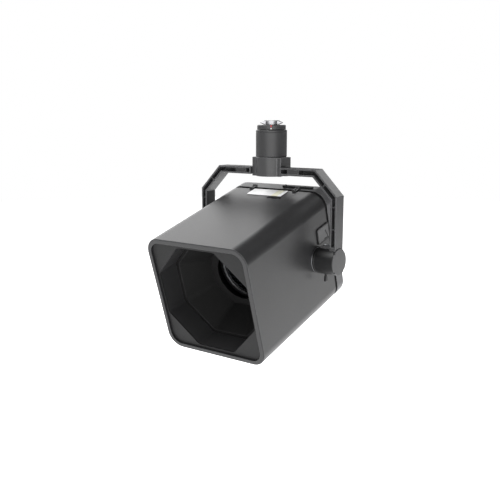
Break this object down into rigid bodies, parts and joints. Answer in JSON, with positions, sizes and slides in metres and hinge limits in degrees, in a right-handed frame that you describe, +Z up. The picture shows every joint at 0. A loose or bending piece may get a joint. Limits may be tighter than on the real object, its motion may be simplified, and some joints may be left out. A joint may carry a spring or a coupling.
{
  "type": "ellipsoidal spotlight",
  "caption": "Square-hooded ellipsoidal spotlight on a ribbed U-yoke with a quick-lock stud, tilt drums, focus wheel and a hinged rear cover.",
  "frame": {"origin": "centre of the coupling stud's flat top face", "axes": "+Z up out of the stud, -Y towards the light's front, +X to the right as seen from the front; the pan axis is the Z axis"},
  "size_m": [0.2674, 0.2896, 0.3548],
  "materials": {
    "stud_chrome": "polished",
    "coupling_paint": "satin powder coat",
    "yoke_paint": "satin powder coat",
    "drum_paint": "satin powder coat",
    "housing_paint": "satin powder coat",
    "baffle_black": "matt black",
    "black_plastic": "moulded",
    "insulator": "moulded",
    "bush_plastic": "moulded",
    "gasket_rubber": "matt",
    "steel": "machined",
    "aluminium": "milled",
    "brass": "machined",
    "reflector_mirror": "specular",
    "lens_glass": "polished",
    "label_white": "printed label stock",
    "red_mark": "enamel"
  },
  "bodies": {
    "coupling": {"coupling_stud": "stud_chrome", "contact_pins": "brass", "adapter_body": "coupling_paint", "stud_nut": "steel", "terminal_block": "insulator", "pan_shaft": "steel", "pan_washer": "steel", "pan_nut": "steel"},
    "lock_ring": {"lock_ring": "coupling_paint", "index_mark": "red_mark"},
    "yoke": {"pan_bush": "bush_plastic", "pan_block": "yoke_paint", "yoke_screw_left": "steel", "yoke_screw_right": "steel", "yoke_frame": "yoke_paint", "tilt_drum_left": "drum_paint", "tilt_drum_right": "drum_paint", "tilt_cap_left": "yoke_paint", "tilt_cap_right": "yoke_paint", "tilt_bush_left": "bush_plastic", "tilt_bush_right": "bush_plastic", "foot_screws_left": "steel", "foot_screws_right": "steel"},
    "tilt_lock_left": {"tilt_lock_left": "black_plastic"},
    "tilt_lock_right": {"tilt_lock_right": "black_plastic"},
    "head": {"tilt_shaft_left": "steel", "tilt_shaft_right": "steel", "tilt_nut_left": "steel", "tilt_nut_right": "steel", "main_housing": "housing_paint", "hinge_pin_left": "steel", "hinge_pin_right": "steel", "rear_gasket": "gasket_rubber", "front_bezel": "housing_paint", "corner_mask": "baffle_black", "baffle_tube": "baffle_black", "baffle_funnel": "baffle_black", "side_plate_left": "housing_paint", "side_plate_right": "housing_paint", "roof_label": "label_white", "optics_bulkhead": "baffle_black", "gate_plate": "aluminium", "guide_rod": "steel", "reflector": "reflector_mirror", "led_module": "insulator", "heat_sink": "aluminium", "fan_frame": "black_plastic", "driver_box": "aluminium"},
    "focus_drive": {"focus_screw": "brass", "focus_wheel": "black_plastic"},
    "lens_carriage": {"lens_carriage": "black_plastic", "front_lens": "lens_glass", "lens_ring": "aluminium"},
    "fan_rotor": {"fan_rotor": "black_plastic"},
    "rear_cover": {"rear_cover": "housing_paint"},
    "clip_left": {"cover_clip_left": "black_plastic"},
    "clip_right": {"cover_clip_right": "black_plastic"},
    "latch": {"latch_lever": "black_plastic"}
  },
  "joints": [
    {"name": "pan", "type": "hinge", "parent": "coupling", "child": "yoke", "pos_m": [0, 0, -0.058], "axis": [0, 0, 1], "range_deg": [-175, 175]},
    {"name": "ring_turn", "type": "hinge", "parent": "coupling", "child": "lock_ring", "pos_m": [0, 0, -0.011], "axis": [0, 0, 1], "range_deg": [0, 40]},
    {"name": "tilt", "type": "hinge", "parent": "yoke", "child": "head", "pos_m": [0, -0.0073, -0.2153], "axis": [1, 0, 0], "range_deg": [-46, 73]},
    {"name": "lock_left_turn", "type": "hinge", "parent": "yoke", "child": "tilt_lock_left", "pos_m": [-0.1102, -0.0073, -0.2403], "axis": [0, 0, 1], "range_deg": [0, 90]},
    {"name": "lock_right_turn", "type": "hinge", "parent": "yoke", "child": "tilt_lock_right", "pos_m": [0.1102, -0.0073, -0.2403], "axis": [0, 0, 1], "range_deg": [0, 90]},
    {"name": "focus_turn", "type": "hinge", "parent": "head", "child": "focus_drive", "pos_m": [0.0225, -0.01852, -0.14081], "axis": [0, -0.9584, -0.2854], "range_deg": [-360, 360]},
    {"name": "focus_slide", "type": "slide", "parent": "head", "child": "lens_carriage", "axis": [0, -0.9584, -0.2854], "range_m": [-0.012, 0.012]},
    {"name": "fan_spin", "type": "hinge", "parent": "head", "child": "fan_rotor", "pos_m": [0, 0.04829, -0.19875], "axis": [0, -0.9584, -0.2854], "continuous": true},
    {"name": "rear_cover_open", "type": "hinge", "parent": "head", "child": "rear_cover", "pos_m": [0, 0.06361, -0.29717], "axis": [-1, 0, 0], "range_deg": [0, 95]},
    {"name": "clip_left_lift", "type": "hinge", "parent": "rear_cover", "child": "clip_left", "pos_m": [-0.0425, 0.01439, -0.10732], "axis": [-1, 0, 0], "range_deg": [0, 100]},
    {"name": "clip_right_lift", "type": "hinge", "parent": "rear_cover", "child": "clip_right", "pos_m": [0.0425, 0.01439, -0.10732], "axis": [-1, 0, 0], "range_deg": [0, 100]},
    {"name": "latch_turn", "type": "hinge", "parent": "rear_cover", "child": "latch", "pos_m": [0.014, 0.01927, -0.10618], "axis": [0, -0.2854, 0.9584], "range_deg": [0, 45]}
  ],
  "couplings": [
    {"joint": "focus_turn", "follows": "focus_slide", "rad_per_m": 523.59}
  ]
}
